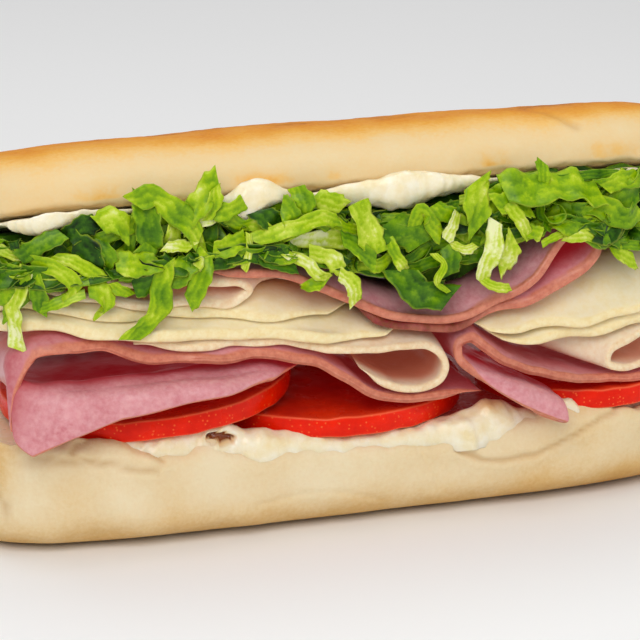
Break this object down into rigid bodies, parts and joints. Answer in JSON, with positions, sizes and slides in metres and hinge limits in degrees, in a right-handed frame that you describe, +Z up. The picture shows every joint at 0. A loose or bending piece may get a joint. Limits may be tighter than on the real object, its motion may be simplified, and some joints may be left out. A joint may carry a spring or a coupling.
{
  "type": "submarine sandwich",
  "caption": "Long split roll filled with shredded lettuce, folded ham and turkey, sliced cheese, tomato and mayonnaise.",
  "frame": {"origin": "middle of the roll's flat underside, on the surface it lies on", "axes": "+X along the roll, +Z up, -Y toward the open side that shows the fillings"},
  "size_m": [0.168, 0.0847, 0.0857],
  "materials": {
    "crumb": "pale baked bread with a soft matt skin",
    "crust": "golden baked bread, browner along the crown",
    "mayo": "thick cream with a soft sheen",
    "tomato": "wet red slice",
    "ham": "moist pink meat with an orange-brown rim",
    "turkey": "pale cooked meat with a tan rim",
    "cheese": "pale yellow, smooth",
    "lettuce": "crisp bright green leaf, slightly glossy"
  },
  "bodies": {
    "root": {"bread_bottom": "crumb", "bread_top": "crust", "mayo_bottom": "mayo", "mayo_top": "mayo", "tomato_left": "tomato", "tomato_middle": "tomato", "tomato_right": "tomato", "ham_left": "ham", "ham_right": "ham", "ham_top": "ham", "turkey_left": "turkey", "turkey_middle": "turkey", "turkey_right": "turkey", "cheese_left_low": "cheese", "cheese_left_high": "cheese", "cheese_right_low": "cheese", "cheese_right_high": "cheese", "lettuce": "lettuce"}
  },
  "joints": []
}
